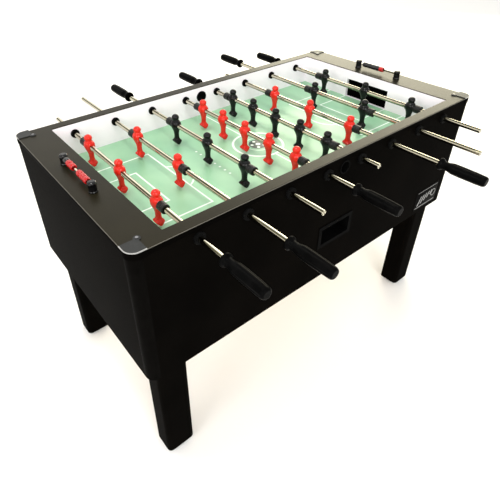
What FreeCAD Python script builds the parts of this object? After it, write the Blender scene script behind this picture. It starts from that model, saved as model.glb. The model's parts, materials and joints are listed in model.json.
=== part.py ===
import FreeCAD, Part
import os
import re
import Sketcher

# A tabletop football table: eight rods of players over a walled pitch, in a
# panelled cabinet on four legs, with balls led from the goals to a return tray.
# X runs along the pitch, Y across it towards the far side, Z up. The origin is
# on the floor under the middle of the table.

Vector = FreeCAD.Vector
Rotation = FreeCAD.Rotation
Placement = FreeCAD.Placement

# ---------------------------------------------------------------- sizes, mm
SIZES = {
    # cabinet
    "tableLength": 1422,
    "tableWidth": 762,
    "tableHeight": 914,
    "cabinetDepth": 454,
    "panelThick": 32,
    "linerThick": 6,
    "deckThick": 18,
    "deckWidth": 106,
    "lipThick": 3,
    "endWallThick": 12,
    "boardThick": 12,
    "fieldDrop": 116,
    "cornerRadius": 28,
    "battenWide": 18,
    "battenHigh": 30,
    "floorThick": 12,
    # corner caps and fasteners
    "capSize": 45,
    "capThick": 3,
    "capSkin": 1.5,
    "capSkirt": 20,
    "capEarRadius": 9,
    "screwRadius": 2,
    "screwHeadRadius": 4,
    "screwHeadHigh": 2,
    "screwLong": 16,
    "boltRadius": 4,
    "boltHeadRadius": 8,
    "boltHeadHigh": 6,
    "boltLong": 60,
    "boltSpacing": 50,
    # legs
    "legWide": 100,
    "legDeep": 83,
    "legInsetX": 33,
    "legInsetY": 25,
    "legEdgeRadius": 16,
    "levellerHigh": 12,
    "levellerRadius": 26,
    "stemRadius": 5,
    "stemLong": 40,
    # goals and ball return
    "goalWide": 203,
    "goalDrop": 39,
    "boxWall": 4,
    "goalBoxSpare": 4,
    "goalBoxFloor": 736,
    "returnWide": 132,
    "returnLow": 608,
    "returnHigh": 668,
    "returnFrame": 9,
    "returnProud": 3,
    "trayDeep": 96,
    "trayRim": 690,
    "runwayThick": 5,
    "runwayRail": 24,
    "runwayTilt": 4.6,
    "runwayStart": 78,
    "runwayLong": 536,
    "runwayMouth": -287,
    "runwayKnee": 200,
    "serveDrop": 40,
    "serveHoleRadius": 18,
    "serveRadius": 20,
    "serveFlangeRadius": 22,
    "serveFlangeThick": 3,
    # rods and their bearings
    "rodPitch": 151.5,
    "rodDrop": 37,
    "rodRadius": 8,
    "rodBore": 6.2,
    "bearingBore": 8.06,
    "sleeveRadius": 12,
    "flangeRadius": 15,
    "flangeProud": 7,
    "bossProud": 9,
    "nutRadius": 17,
    "nutThick": 8,
    "plugInside": 12,
    "plugHead": 2,
    "endSpare": 8,
    "edgeBevel": 2,
    "slideMargin": 0.5,
    # players, bumpers and grips
    "hubRadius": 12.5,
    "hubHalf": 18,
    "headRadius": 12.5,
    "headRise": 26.5,
    "neckRadius": 8,
    "shoulderRise": 15,
    "shoulderRadius": 16,
    "waistDrop": 28,
    "waistRadius": 10,
    "legHalfX": 7.5,
    "legOverlap": 3,
    "legHalfY": 8.5,
    "ankleDrop": 50,
    "instepDrop": 60,
    "instepHalfX": 12,
    "soleDrop": 72,
    "soleHalfX": 3,
    "footHalfY": 13.5,
    "pinRadius": 1.5,
    "pinHalf": 12,
    "bumperGap": 0.5,
    "bumperLong": 26.5,
    "bumperRadius": 14,
    "bumperBore": 8.05,
    "gripGap": 35,
    "gripLong": 140,
    "gripBoreLong": 110,
    "gripFlangeRadius": 19,
    "gripFlangeThick": 6,
    "gripNeckStart": 14,
    "gripNeckEnd": 26,
    "gripBodyStart": 42,
    "gripEndBevel": 6,
    "gripNeckRadius": 12.5,
    "gripRadius": 17,
    "goalSpacing": 208,
    "defenceSpacing": 243,
    "midfieldSpacing": 120,
    "forwardSpacing": 186,
    # where each rod stands along Y at rest
    "redGoalRest": 18,
    "redDefenceRest": 57,
    "blackForwardRest": -6,
    "redMidfieldRest": -15,
    "blackMidfieldRest": -5,
    "redForwardRest": -29,
    "blackDefenceRest": -35.5,
    "blackGoalRest": -44,
    # scorers
    "scorerX": 658,
    "scorerHalf": 88.5,
    "scorerShift": 5.5,
    "postRadius": 13,
    "postHigh": 32,
    "postDome": 3,
    "wireRise": 19,
    "wireRadius": 3,
    "wireSeat": 5,
    "beadRadius": 10,
    "beadThick": 20,
    "beadBore": 3.1,
}

# name, players, spacing, side of the grip (-1 near, +1 far), rest place
RODS = [
    ("red_goal", 3, "goalSpacing", -1, "redGoalRest"),
    ("red_defence", 2, "defenceSpacing", -1, "redDefenceRest"),
    ("black_forward", 3, "forwardSpacing", 1, "blackForwardRest"),
    ("red_midfield", 5, "midfieldSpacing", -1, "redMidfieldRest"),
    ("black_midfield", 5, "midfieldSpacing", 1, "blackMidfieldRest"),
    ("red_forward", 3, "forwardSpacing", -1, "redForwardRest"),
    ("black_defence", 2, "defenceSpacing", 1, "blackDefenceRest"),
    ("black_goal", 3, "goalSpacing", 1, "blackGoalRest"),
]

# heights and half sizes that several pieces share, as sheet formulas
HALF_LENGTH = "tableLength / 2"
HALF_WIDTH = "tableWidth / 2"
PIT_X = "(tableLength / 2 - deckWidth)"
PIT_Y = "(tableWidth / 2 - panelThick - linerThick)"
WALL_X = "(tableLength / 2 - panelThick)"
WALL_Y = "(tableWidth / 2 - panelThick)"
DECK_BOTTOM = "(tableHeight - deckThick)"
CABINET_BOTTOM = "(tableHeight - cabinetDepth)"
FIELD_TOP = "(tableHeight - fieldDrop)"
BOARD_BOTTOM = "(tableHeight - fieldDrop - boardThick)"
LINER_TOP = "(tableHeight - lipThick)"
ROD_Z = "(tableHeight - rodDrop)"
SERVE_Z = "(tableHeight - serveDrop)"
LEG_X = "(tableLength / 2 - legInsetX - legWide / 2)"
LEG_Y = "(tableWidth / 2 - legInsetY - legDeep / 2)"
WIRE_Z = "(tableHeight + wireRise)"

# how far a cutting tool reaches past the face that it opens, mm
SPARE = 1

ALONG_Y = Rotation(Vector(1, 0, 0), -90)
ALONG_X = Rotation(Vector(0, 1, 0), 90)
HALF_TURN = Rotation(Vector(0, 0, 1), 180)

doc = FreeCAD.newDocument("foosball_table")
sheet = doc.addObject("Spreadsheet::Sheet", "sizes")
parts = []


def fill_sheet():
    for row, (alias, number) in enumerate(SIZES.items(), start=1):
        sheet.set(f"A{row}", alias)
        sheet.set(f"B{row}", str(number))
        sheet.setAlias(f"B{row}", alias)
    doc.recompute()


def formula(text):
    """The text with each size's name turned into its cell in the sheet."""
    text = str(text)
    return re.sub(r"[A-Za-z]\w*", lambda word: "sizes." + word.group(), text)


def bind(thing, **sizes):
    for name, text in sizes.items():
        thing.setExpression(name, formula(text))
    return thing


def place(thing, x=0, y=0, z=0, turn=None):
    if turn is not None:
        thing.Placement = Placement(Vector(0, 0, 0), turn)
    for axis, text in zip("xyz", (x, y, z)):
        thing.setExpression(f".Placement.Base.{axis}", formula(text))
    return thing


def rod_x(number):
    """A rod's place along the pitch, counted from the left."""
    return f"({number - (len(RODS) - 1) / 2}) * rodPitch"


def part(thing, label):
    """Marks an object as a sub-part, with the label that names its file."""
    thing.Label = label
    parts.append(thing)
    return thing


# ------------------------------------------------------- primitives and groups
def box(name, low, high):
    thing = doc.addObject("Part::Box", name)
    sides = [f"({top}) - ({bottom})" for bottom, top in zip(low, high)]
    bind(thing, Length=sides[0], Width=sides[1], Height=sides[2])
    return place(thing, *low)


def cylinder(name, radius, length, x=0, y=0, z=0, turn=None):
    thing = doc.addObject("Part::Cylinder", name)
    bind(thing, Radius=radius, Height=length)
    return place(thing, x, y, z, turn)


def cut(name, base, tool):
    thing = doc.addObject("Part::Cut", name)
    thing.Base = base
    thing.Tool = tool
    return thing


def fuse(name, *things):
    thing = doc.addObject("Part::MultiFuse", name)
    thing.Shapes = list(things)
    return thing


def group(name, things):
    thing = doc.addObject("Part::Compound", name)
    thing.Links = list(things)
    return thing


def copy(thing, x=0, y=0, z=0, turn=None):
    link = doc.addObject("App::Link", thing.Name + "_copy")
    link.LinkedObject = thing
    return place(link, x, y, z, turn or thing.Placement.Rotation)


# ------------------------------------------------------------ bodies, sketches
def new_body(name):
    return doc.addObject("PartDesign::Body", name)


def new_sketch(body, role, offset=0):
    plane = [part for part in body.Origin.OriginFeatures if part.Role == role][0]
    sketch = body.newObject("Sketcher::SketchObject", body.Name + "_sketch")
    sketch.AttachmentSupport = [(plane, "")]
    sketch.MapMode = "FlatFace"
    sketch.setExpression(".AttachmentOffset.Base.z", formula(offset))
    return sketch


def pin_point(sketch, geometry, point, x, y):
    """Holds a point of the sketch at a place given by two formulas."""
    for kind, text in (("DistanceX", x), ("DistanceY", y)):
        index = sketch.addConstraint(Sketcher.Constraint(kind, -1, 1, geometry, point, 1.0))
        sketch.setExpression(f"Constraints[{index}]", formula(text))


def outline(sketch, corners):
    """Closes a polygon through corners, each a pair of formulas."""
    count = len(corners)
    spoke = Vector(100, 0, 0)
    ring = [Rotation(Vector(0, 0, 1), 360 * step / count).multVec(spoke) for step in range(count)]
    first = sketch.GeometryCount
    for step in range(count):
        sketch.addGeometry(Part.LineSegment(ring[step], ring[(step + 1) % count]), False)
    for step in range(count):
        following = first + (step + 1) % count
        sketch.addConstraint(Sketcher.Constraint("Coincident", first + step, 2, following, 1))
    for step, (x, y) in enumerate(corners):
        pin_point(sketch, first + step, 1, x, y)


def rectangle(sketch, low, high):
    outline(sketch, [(low[0], low[1]), (high[0], low[1]), (high[0], high[1]), (low[0], high[1])])


def circle(sketch, radius, x=0, y=0):
    index = sketch.addGeometry(Part.Circle(Vector(0, 0, 0), Vector(0, 0, 1), 5), False)
    pin_point(sketch, index, 3, x, y)
    size = sketch.addConstraint(Sketcher.Constraint("Radius", index, 5))
    sketch.setExpression(f"Constraints[{size}]", formula(radius))


def pad(body, sketch, length, reverse=False):
    feature = body.newObject("PartDesign::Pad", body.Name + "_pad")
    feature.Profile = sketch
    feature.Reversed = reverse
    feature.setExpression("Length", formula(length))
    return feature


def pocket(body, sketch, depth, reverse=False):
    feature = body.newObject("PartDesign::Pocket", body.Name + "_pocket")
    feature.Profile = sketch
    feature.Reversed = reverse
    feature.setExpression("Length", formula(depth))
    return feature


def turned(body, corners, role="XY_Plane"):
    """Turns a closed profile of (radius, height) corners about the sketch's own vertical axis."""
    sketch = new_sketch(body, role)
    outline(sketch, corners)
    feature = body.newObject("PartDesign::Revolution", body.Name + "_turned")
    feature.Profile = sketch
    feature.ReferenceAxis = (sketch, ["V_Axis"])
    feature.Angle = 360
    return feature


def round_upright_edges(body, feature, radius, wanted):
    """Rounds the upright edges whose middle passes the test."""
    doc.recompute()
    names = []
    for number, edge in enumerate(feature.Shape.Edges, start=1):
        ends = [vertex.Point for vertex in edge.Vertexes]
        upright = len(ends) == 2 and abs(ends[0].x - ends[1].x) + abs(ends[0].y - ends[1].y) < 1e-6
        if upright and wanted(ends[0]):
            names.append(f"Edge{number}")
    rounding = body.newObject("PartDesign::Fillet", body.Name + "_rounding")
    rounding.Base = (feature, names)
    rounding.setExpression("Radius", formula(radius))
    return rounding


# ------------------------------------------------------------------- cabinet
def drilled_board(label, side, half_length, low, high, thick, outer_face, with_return=False):
    """A long upright board with a row of eight bearing holes and the serving hole."""
    body = new_body(label)
    inward = side < 0
    sketch = new_sketch(body, "XZ_Plane")
    rectangle(sketch, (f"-({half_length})", low), (half_length, high))
    pad(body, sketch, thick, reverse=inward)
    if with_return:
        opening = new_sketch(body, "XZ_Plane")
        rectangle(opening, ("-returnWide / 2 - boxWall", "returnLow - boxWall"),
                  ("returnWide / 2 + boxWall", "returnHigh + boxWall"))
        pocket(body, opening, thick, reverse=not inward)
    serving = new_sketch(body, "XZ_Plane")
    circle(serving, "serveRadius", 0, SERVE_Z)
    pocket(body, serving, thick, reverse=not inward)
    hole = new_sketch(body, "XZ_Plane")
    circle(hole, "sleeveRadius", rod_x(0), ROD_Z)
    first_hole = pocket(body, hole, thick, reverse=not inward)
    row = body.newObject("PartDesign::LinearPattern", body.Name + "_row")
    row.Originals = [first_hole]
    row.Direction = (hole, ["H_Axis"])
    row.setExpression("Length", formula(f"{len(RODS) - 1} * rodPitch"))
    row.Occurrences = len(RODS)
    body.Tip = row
    return place(body, y=f"{side} * {outer_face}")


def make_side_panels():
    for label, side in (("side_panel_front", -1), ("side_panel_rear", 1)):
        panel = drilled_board(label, side, WALL_X, CABINET_BOTTOM, DECK_BOTTOM, "panelThick", HALF_WIDTH,
                              side < 0)
        part(panel, label)


def make_side_liners():
    boards = [drilled_board(label, side, f"{PIT_X} + endWallThick", BOARD_BOTTOM, LINER_TOP, "linerThick",
                            WALL_Y) for label, side in (("near_liner", -1), ("far_liner", 1))]
    part(group("liner_pair", boards), "side_liners")


def make_end_panels():
    panel = box("end_board", (WALL_X, f"-{WALL_Y}", CABINET_BOTTOM), (HALF_LENGTH, WALL_Y, DECK_BOTTOM))
    other = box("other_end_board", (f"-{HALF_LENGTH}", f"-{WALL_Y}", CABINET_BOTTOM),
                (f"-{WALL_X}", WALL_Y, DECK_BOTTOM))
    part(group("end_boards", [panel, other]), "end_panels")


def at_corners(thing, x, y, z=0):
    """Four copies of a piece drawn for the corner at -X, -Y, each turned to its own corner."""
    corners = ((-1, -1, 0), (1, -1, 90), (1, 1, 180), (-1, 1, 270))
    return [copy(thing, f"{right} * ({x})", f"{back} * ({y})", z, Rotation(Vector(0, 0, 1), angle))
            for right, back, angle in corners]


def make_corner_posts():
    body = new_body("corner_post")
    sketch = new_sketch(body, "XY_Plane")
    rectangle(sketch, (0, 0), ("panelThick", "panelThick"))
    upright = pad(body, sketch, f"{DECK_BOTTOM} - {CABINET_BOTTOM}")
    round_upright_edges(body, upright, "cornerRadius", lambda point: point.x + point.y < 1)
    posts = at_corners(body, HALF_LENGTH, HALF_WIDTH, CABINET_BOTTOM)
    part(group("corner_post_set", posts), "corner_posts")


def make_corner_caps():
    """A cap's top plate lies on the deck, and its thin skirt wraps the rounded corner."""
    body = new_body("corner_cap")
    plate = new_sketch(body, "XY_Plane", "-capSkirt")
    rectangle(plate, ("-capSkin", "-capSkin"), ("capSize", "capSize"))
    pad(body, plate, "capSkirt + capThick")
    inside = new_sketch(body, "XY_Plane")
    rectangle(inside, (0, 0), ("capSize", "capSize"))
    hollow = pocket(body, inside, "capSkirt")
    lined = round_upright_edges(body, hollow, "cornerRadius",
                                lambda point: abs(point.x) + abs(point.y) < 0.01)
    round_upright_edges(body, lined, "cornerRadius + capSkin", lambda point: point.x + point.y < -2)
    ear = new_sketch(body, "XY_Plane")
    circle(ear, "capEarRadius", "capSize", "capSize")
    pad(body, ear, "capThick")
    hole = new_sketch(body, "XY_Plane")
    circle(hole, "screwRadius", "capSize", "capSize")
    pocket(body, hole, "capThick", reverse=True)
    part(group("corner_cap_set", at_corners(body, HALF_LENGTH, HALF_WIDTH, "tableHeight")), "corner_caps")


def make_top_decks():
    """The wide end boards of the rim, rebated over the white end walls, with the cap screws' holes."""
    body = new_body("top_deck")
    sketch = new_sketch(body, "XY_Plane")
    rectangle(sketch, (0, f"-{HALF_WIDTH}"), ("deckWidth", HALF_WIDTH))
    board = pad(body, sketch, "deckThick")
    round_upright_edges(body, board, "cornerRadius", lambda point: point.x < 1)
    holes = new_sketch(body, "XY_Plane")
    for back in (-1, 1):
        circle(holes, "screwRadius", "capSize", f"{back} * ({HALF_WIDTH} - capSize)")
    pocket(body, holes, "deckThick", reverse=True)
    rebate = new_sketch(body, "XY_Plane")
    rectangle(rebate, ("deckWidth - endWallThick", f"-{WALL_Y}"), (f"deckWidth + {SPARE}", WALL_Y))
    pocket(body, rebate, "deckThick - lipThick", reverse=True)
    left = copy(body, f"-{HALF_LENGTH}", 0, DECK_BOTTOM)
    right = copy(body, HALF_LENGTH, 0, DECK_BOTTOM, HALF_TURN)
    part(group("deck_pair", [left, right]), "top_decks")


def make_side_rails():
    """A rail along each side, whose thin lip covers the top of the white liner."""
    rail = new_body("side_rail")
    section = new_sketch(rail, "YZ_Plane", f"-{PIT_X}")
    outline(section, [(WALL_Y, DECK_BOTTOM), (HALF_WIDTH, DECK_BOTTOM), (HALF_WIDTH, "tableHeight"),
                      (PIT_Y, "tableHeight"), (PIT_Y, LINER_TOP), (WALL_Y, LINER_TOP)])
    pad(rail, section, f"2 * {PIT_X}")
    part(group("rail_pair", [copy(rail), copy(rail, turn=HALF_TURN)]), "side_rails")


def make_end_walls():
    face = box("wall_board", (PIT_X, f"-{PIT_Y}", BOARD_BOTTOM),
               (f"{PIT_X} + endWallThick", PIT_Y, LINER_TOP))
    mouth = box("goal_mouth", (f"{PIT_X} - {SPARE}", "-goalWide / 2", FIELD_TOP),
                (f"{PIT_X} + endWallThick + {SPARE}", "goalWide / 2", "tableHeight - goalDrop"))
    wall = cut("end_wall", face, mouth)
    part(group("end_wall_pair", [copy(wall), copy(wall, turn=HALF_TURN)]), "end_walls")


def make_playfield():
    board = box("field_board", (f"-{PIT_X}", f"-{PIT_Y}", BOARD_BOTTOM), (PIT_X, PIT_Y, FIELD_TOP))
    part(board, "playfield_board")
    near = box("near_batten", (f"-{PIT_X}", f"-{WALL_Y}", f"{BOARD_BOTTOM} - battenHigh"),
               (PIT_X, f"-{WALL_Y} + battenWide", BOARD_BOTTOM))
    part(group("batten_pair", [near, copy(near, PIT_X, WALL_Y, f"{BOARD_BOTTOM} - battenHigh", HALF_TURN)]),
         "field_battens")


def make_floor():
    body = new_body("floor_board")
    sketch = new_sketch(body, "XY_Plane")
    rectangle(sketch, (f"-{WALL_X}", f"-{WALL_Y}"), (WALL_X, WALL_Y))
    pad(body, sketch, "floorThick")
    holes = new_sketch(body, "XY_Plane")
    for right in (-1, 1):
        for back in (-1, 1):
            for step in (-1, 1):
                x = f"{right} * {LEG_X} + {step} * boltSpacing / 2"
                circle(holes, "boltRadius", x, f"{back} * {LEG_Y}")
    pocket(body, holes, "floorThick", reverse=True)
    place(body, z=CABINET_BOTTOM)
    part(body, "cabinet_floor")


def make_goal_boxes():
    """A goal box catches the ball behind the mouth and lets it out low, under the pitch."""
    front = f"{PIT_X} + endWallThick"
    shell = box("goal_shell", (front, "-goalWide / 2 - boxWall", "goalBoxFloor - boxWall"),
                (f"{WALL_X} - goalBoxSpare", "goalWide / 2 + boxWall", "tableHeight - goalDrop + boxWall"))
    hollow = box("goal_hollow", (f"{front} - {SPARE}", "-goalWide / 2", "goalBoxFloor"),
                 (f"{WALL_X} - goalBoxSpare - boxWall", "goalWide / 2", "tableHeight - goalDrop"))
    basket = cut("goal_box", shell, hollow)
    part(group("goal_box_pair", [copy(basket), copy(basket, turn=HALF_TURN)]), "goal_boxes")


def make_ball_runways():
    """Two tilted chutes with rails, from the goal boxes down to the return tray."""
    body = new_body("runway")
    long = "runwayLong"
    plan = new_sketch(body, "XY_Plane")
    front = f"-{WALL_Y} + runwayThick"
    outline(plan, [(0, front), (0, "runwayMouth"), (long, "goalWide / 2"), (long, "-goalWide / 2"),
                   ("runwayKnee", front)])
    pad(body, plan, "runwayThick + runwayRail")
    trough = new_sketch(body, "XY_Plane", "runwayThick + runwayRail")
    outline(trough, [("-runwayRail", f"{front} + runwayThick"), ("-runwayRail", "runwayMouth - runwayRail"),
                     (f"{long} + runwayRail", "goalWide / 2 + runwayThick"),
                     (f"{long} + runwayRail", "-goalWide / 2 + runwayThick"),
                     ("runwayKnee", f"{front} + runwayThick")])
    pocket(body, trough, "runwayRail")
    mirrored = doc.addObject("Part::Mirroring", "mirrored_runway")
    mirrored.Source = body
    mirrored.Normal = Vector(1, 0, 0)
    low = "trayRim - boxWall"
    right = copy(body, "runwayStart", 0, low, Rotation(Vector(0, 1, 0), -SIZES["runwayTilt"]))
    left = copy(mirrored, "-runwayStart", 0, low, Rotation(Vector(0, 1, 0), SIZES["runwayTilt"]))
    part(group("runway_pair", [right, left]), "ball_runways")


def make_return_tray():
    """A framed opening in the near panel with an open-topped bin behind it."""
    side = "returnWide / 2 + boxWall"
    face = f"-{HALF_WIDTH}"
    floor = "returnLow - boxWall"
    roof = "returnHigh + boxWall"
    frame = box("tray_frame",
                (f"-({side}) - returnFrame", f"{face} - returnProud", f"{floor} - returnFrame"),
                (f"{side} + returnFrame", face, f"{roof} + returnFrame"))
    tube = box("tray_tube", (f"-({side})", face, floor), (side, f"-{WALL_Y}", roof))
    bin_block = box("tray_bin", (f"-({side})", f"-{WALL_Y}", floor),
                    (side, f"{face} + trayDeep", "trayRim"))
    mouth = box("tray_mouth", ("-returnWide / 2", f"{face} - returnProud - {SPARE}", "returnLow"),
                ("returnWide / 2", f"{face} + trayDeep - boxWall", "returnHigh"))
    hollow = box("tray_hollow", ("-returnWide / 2", f"-{WALL_Y}", "returnLow"),
                 ("returnWide / 2", f"{face} + trayDeep - boxWall", f"trayRim + {SPARE}"))
    tray = cut("tray", fuse("tray_solid", frame, tube, bin_block), fuse("tray_space", mouth, hollow))
    part(tray, "ball_return_tray")


def make_serve_cups():
    """A flanged sleeve through each long wall, with a ring around its inner end."""
    cup = new_body("serve_sleeve")
    wall = "panelThick + linerThick"
    through = f"{wall} + serveFlangeThick"
    turned(cup, [("serveHoleRadius", "-serveFlangeThick"), ("serveFlangeRadius", "-serveFlangeThick"),
                 ("serveFlangeRadius", 0), ("serveRadius", 0), ("serveRadius", through),
                 ("serveHoleRadius", through)])
    ring = new_body("serve_ring")
    turned(ring, [("serveRadius", wall), ("serveFlangeRadius", wall), ("serveFlangeRadius", through),
                  ("serveRadius", through)])
    pieces = []
    for piece in (cup, ring):
        pieces.append(copy(piece, 0, f"-{HALF_WIDTH}", SERVE_Z))
        pieces.append(copy(piece, 0, HALF_WIDTH, SERVE_Z, HALF_TURN))
    part(group("serve_cup_set", pieces), "serve_cups")


def make_bearings():
    """A flanged bush carries each rod at each wall, held by a round nut outside."""
    bush = new_body("bearing_bush")
    boss = "panelThick + linerThick + bossProud"
    turned(bush, [("bearingBore", "-flangeProud"), ("flangeRadius - edgeBevel", "-flangeProud"),
                  ("flangeRadius", "-flangeProud + edgeBevel"), ("flangeRadius", 0), ("sleeveRadius", 0),
                  ("sleeveRadius", boss), ("bearingBore", boss)])
    nut = new_body("bearing_nut")
    outer = "panelThick + linerThick"
    turned(nut, [("sleeveRadius", outer), ("nutRadius", outer),
                 ("nutRadius", f"{outer} + nutThick - edgeBevel"),
                 ("nutRadius - edgeBevel", f"{outer} + nutThick"), ("sleeveRadius", f"{outer} + nutThick")])
    for prototype, label in ((bush, "rod_bearings"), (nut, "bearing_nuts")):
        pieces = []
        for number in range(len(RODS)):
            pieces.append(copy(prototype, rod_x(number), f"-{PIT_Y}", ROD_Z, HALF_TURN))
            pieces.append(copy(prototype, rod_x(number), PIT_Y, ROD_Z))
        part(group(label + "_set", pieces), label)


def make_legs():
    leg = new_body("leg")
    sketch = new_sketch(leg, "XY_Plane")
    rectangle(sketch, ("-legWide / 2", "-legDeep / 2"), ("legWide / 2", "legDeep / 2"))
    high = f"{CABINET_BOTTOM} - levellerHigh"
    post = pad(leg, sketch, high)
    round_upright_edges(leg, post, "legEdgeRadius", lambda point: True)
    stem_hole = new_sketch(leg, "XY_Plane")
    circle(stem_hole, "stemRadius")
    pocket(leg, stem_hole, "stemLong", reverse=True)
    bolt_holes = new_sketch(leg, "XY_Plane", high)
    for step in (-1, 1):
        circle(bolt_holes, "boltRadius", f"{step} * boltSpacing / 2", 0)
    pocket(leg, bolt_holes, "boltLong - floorThick")
    foot = fuse("leveller", cylinder("leveller_pad", "levellerRadius", "levellerHigh"),
                cylinder("leveller_stem", "stemRadius", "stemLong", z="levellerHigh"))
    places = [(f"{right} * {LEG_X}", f"{back} * {LEG_Y}") for right in (-1, 1) for back in (-1, 1)]
    part(group("leg_set", [copy(leg, x, y, "levellerHigh") for x, y in places]), "legs")
    part(group("leveller_set", [copy(foot, x, y) for x, y in places]), "leg_levellers")
    return places


def make_fasteners(leg_places):
    bolt = fuse("leg_bolt", cylinder("bolt_head", "boltHeadRadius", "boltHeadHigh"),
                cylinder("bolt_shank", "boltRadius", "boltLong", z="-boltLong"))
    screw = fuse("cap_screw", cylinder("screw_head", "screwHeadRadius", "screwHeadHigh"),
                 cylinder("screw_shank", "screwRadius", "screwLong", z="-screwLong"))
    pieces = []
    for x, y in leg_places:
        for step in (-1, 1):
            bolt_x = f"{x} + {step} * boltSpacing / 2"
            pieces.append(copy(bolt, bolt_x, y, f"{CABINET_BOTTOM} + floorThick"))
    pieces += at_corners(screw, f"{HALF_LENGTH} - capSize", f"{HALF_WIDTH} - capSize",
                         "tableHeight + capThick")
    part(group("fastener_set", pieces), "cabinet_fasteners")


# ---------------------------------------------------------------- rod assemblies
def make_man():
    """A player hanging on the rod, whose axis is the man's own Y axis."""
    head = doc.addObject("Part::Sphere", "man_head")
    bind(head, Radius="headRadius")
    place(head, z="headRise")
    neck = cylinder("man_neck", "neckRadius", "headRise - shoulderRise", z="shoulderRise")
    torso = doc.addObject("Part::Cone", "man_torso")
    bind(torso, Radius1="waistRadius", Radius2="shoulderRadius", Height="waistDrop + shoulderRise")
    place(torso, z="-waistDrop")
    hub = cylinder("man_hub", "hubRadius", "2 * hubHalf", y="-hubHalf", turn=ALONG_Y)
    leg = box("man_leg", ("-legHalfX", "-legHalfY", "-ankleDrop - legOverlap"),
              ("legHalfX", "legHalfY", "-waistDrop + legOverlap"))
    foot = new_body("man_foot")
    sketch = new_sketch(foot, "XZ_Plane", "-footHalfY")
    outline(sketch, [("-legHalfX", "-ankleDrop"), ("legHalfX", "-ankleDrop"),
                     ("instepHalfX", "-instepDrop"), ("soleHalfX", "-soleDrop"),
                     ("-soleHalfX", "-soleDrop"), ("-instepHalfX", "-instepDrop")])
    pad(foot, sketch, "2 * footHalfY")
    figure = fuse("man_figure", head, neck, torso, hub, leg, foot)
    bore = cylinder("man_bore", "rodRadius", f"2 * hubHalf + {2 * SPARE}", y=f"-hubHalf - {SPARE}",
                    turn=ALONG_Y)
    pin_hole = cylinder("man_pin_hole", "pinRadius", "2 * pinHalf", x="-pinHalf", turn=ALONG_X)
    return cut("man", figure, fuse("man_holes", bore, pin_hole))


def make_grip():
    body = new_body("grip")
    turned(body, [("rodRadius", 0), ("gripFlangeRadius - edgeBevel", 0), ("gripFlangeRadius", "edgeBevel"),
                  ("gripFlangeRadius", "gripFlangeThick"), ("gripNeckRadius", "gripNeckStart"),
                  ("gripNeckRadius", "gripNeckEnd"), ("gripRadius", "gripBodyStart"),
                  ("gripRadius", "gripLong - gripEndBevel"), ("gripRadius - gripEndBevel", "gripLong"),
                  (0, "gripLong"), (0, "gripBoreLong"), ("rodRadius", "gripBoreLong")])
    return body


def make_bumper():
    outer = cylinder("bumper_outer", "bumperRadius", "bumperLong", turn=ALONG_Y)
    inner = cylinder("bumper_inner", "bumperBore", f"bumperLong + {2 * SPARE}", y=-SPARE, turn=ALONG_Y)
    return cut("bumper", outer, inner)


def make_rods():
    """Each rod's grip is drawn on the near side, and the far team's rods are turned round."""
    man = make_man()
    grip = make_grip()
    bumper = make_bumper()
    pin = cylinder("roll_pin", "pinRadius", "2 * pinHalf", x="-pinHalf", turn=ALONG_X)
    plug = fuse("rod_plug", cylinder("plug_stem", "rodBore", "plugInside", y="-plugInside", turn=ALONG_Y),
                cylinder("plug_head", "rodRadius", "plugHead", turn=ALONG_Y))
    for number, (name, players, spacing, side, rest) in enumerate(RODS):
        outermost = f"{(players - 1) / 2} * {spacing}"
        bumper_start = f"{outermost} + hubHalf + bumperGap"
        travel = f"({PIT_Y} - flangeProud - slideMargin - ({bumper_start}) - bumperLong)"
        grip_start = f"({HALF_WIDTH} + gripGap + {travel})"
        bare_end = f"({HALF_WIDTH} + endSpare + {travel})"
        turn = HALF_TURN if side > 0 else Rotation()
        stations = [f"{player - (players - 1) / 2} * {spacing}" for player in range(players)]

        pins = group(name + "_pins", [copy(pin, "-pinHalf", station) for station in stations])
        low = f"-{grip_start} - gripBoreLong"
        bar = cylinder(name + "_bar", "rodRadius", f"{bare_end} - ({low})", y=low, turn=ALONG_Y)
        bore = cylinder(name + "_bore", "rodBore", f"{bare_end} - ({low})", y=low, turn=ALONG_Y)
        tube = cut(name + "_tube", cut(name + "_pipe", bar, bore), pins)
        rod = group(name + "_rod_set", [tube, copy(plug, 0, bare_end), pins])
        men = group(name + "_men_set", [copy(man, 0, station) for station in stations])
        handle = group(name + "_grip_set", [copy(grip, 0, f"-{grip_start}", 0, HALF_TURN)])
        rings = group(name + "_bumper_set", [copy(bumper, 0, bumper_start),
                                             copy(bumper, 0, f"-({bumper_start}) - bumperLong")])
        for pieces, label in ((rod, "rod"), (men, "men"), (handle, "grip"), (rings, "bumpers")):
            place(pieces, rod_x(number), rest, ROD_Z, turn)
            part(pieces, f"{name}_{label}")


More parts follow.
